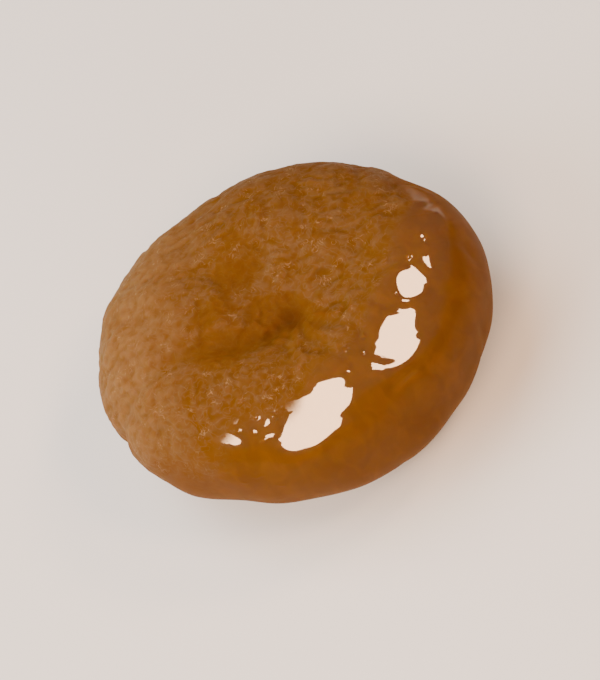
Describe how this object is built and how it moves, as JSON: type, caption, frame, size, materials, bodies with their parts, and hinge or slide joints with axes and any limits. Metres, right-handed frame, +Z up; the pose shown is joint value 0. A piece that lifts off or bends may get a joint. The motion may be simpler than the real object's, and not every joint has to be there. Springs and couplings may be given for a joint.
{
  "type": "candied apricot",
  "caption": "Whole candied apricot, pressed flat and glossy, with a dished wrinkled top round the stem hollow, a shallow seam over one side, and a small flat spot underneath.",
  "frame": {"origin": "on the ground, under the middle of the fruit's bounding box", "axes": "+X along the longest way across the fruit, away from the side that the seam crosses; +Z up, along the stem axis, from the blossom end to the stem hollow"},
  "size_m": [0.046, 0.038, 0.024],
  "materials": {
    "candied_skin": "syrup gloss over translucent amber flesh, duller and paler on the wrinkled top"
  },
  "bodies": {
    "root": {"apricot": "candied_skin"}
  },
  "joints": []
}
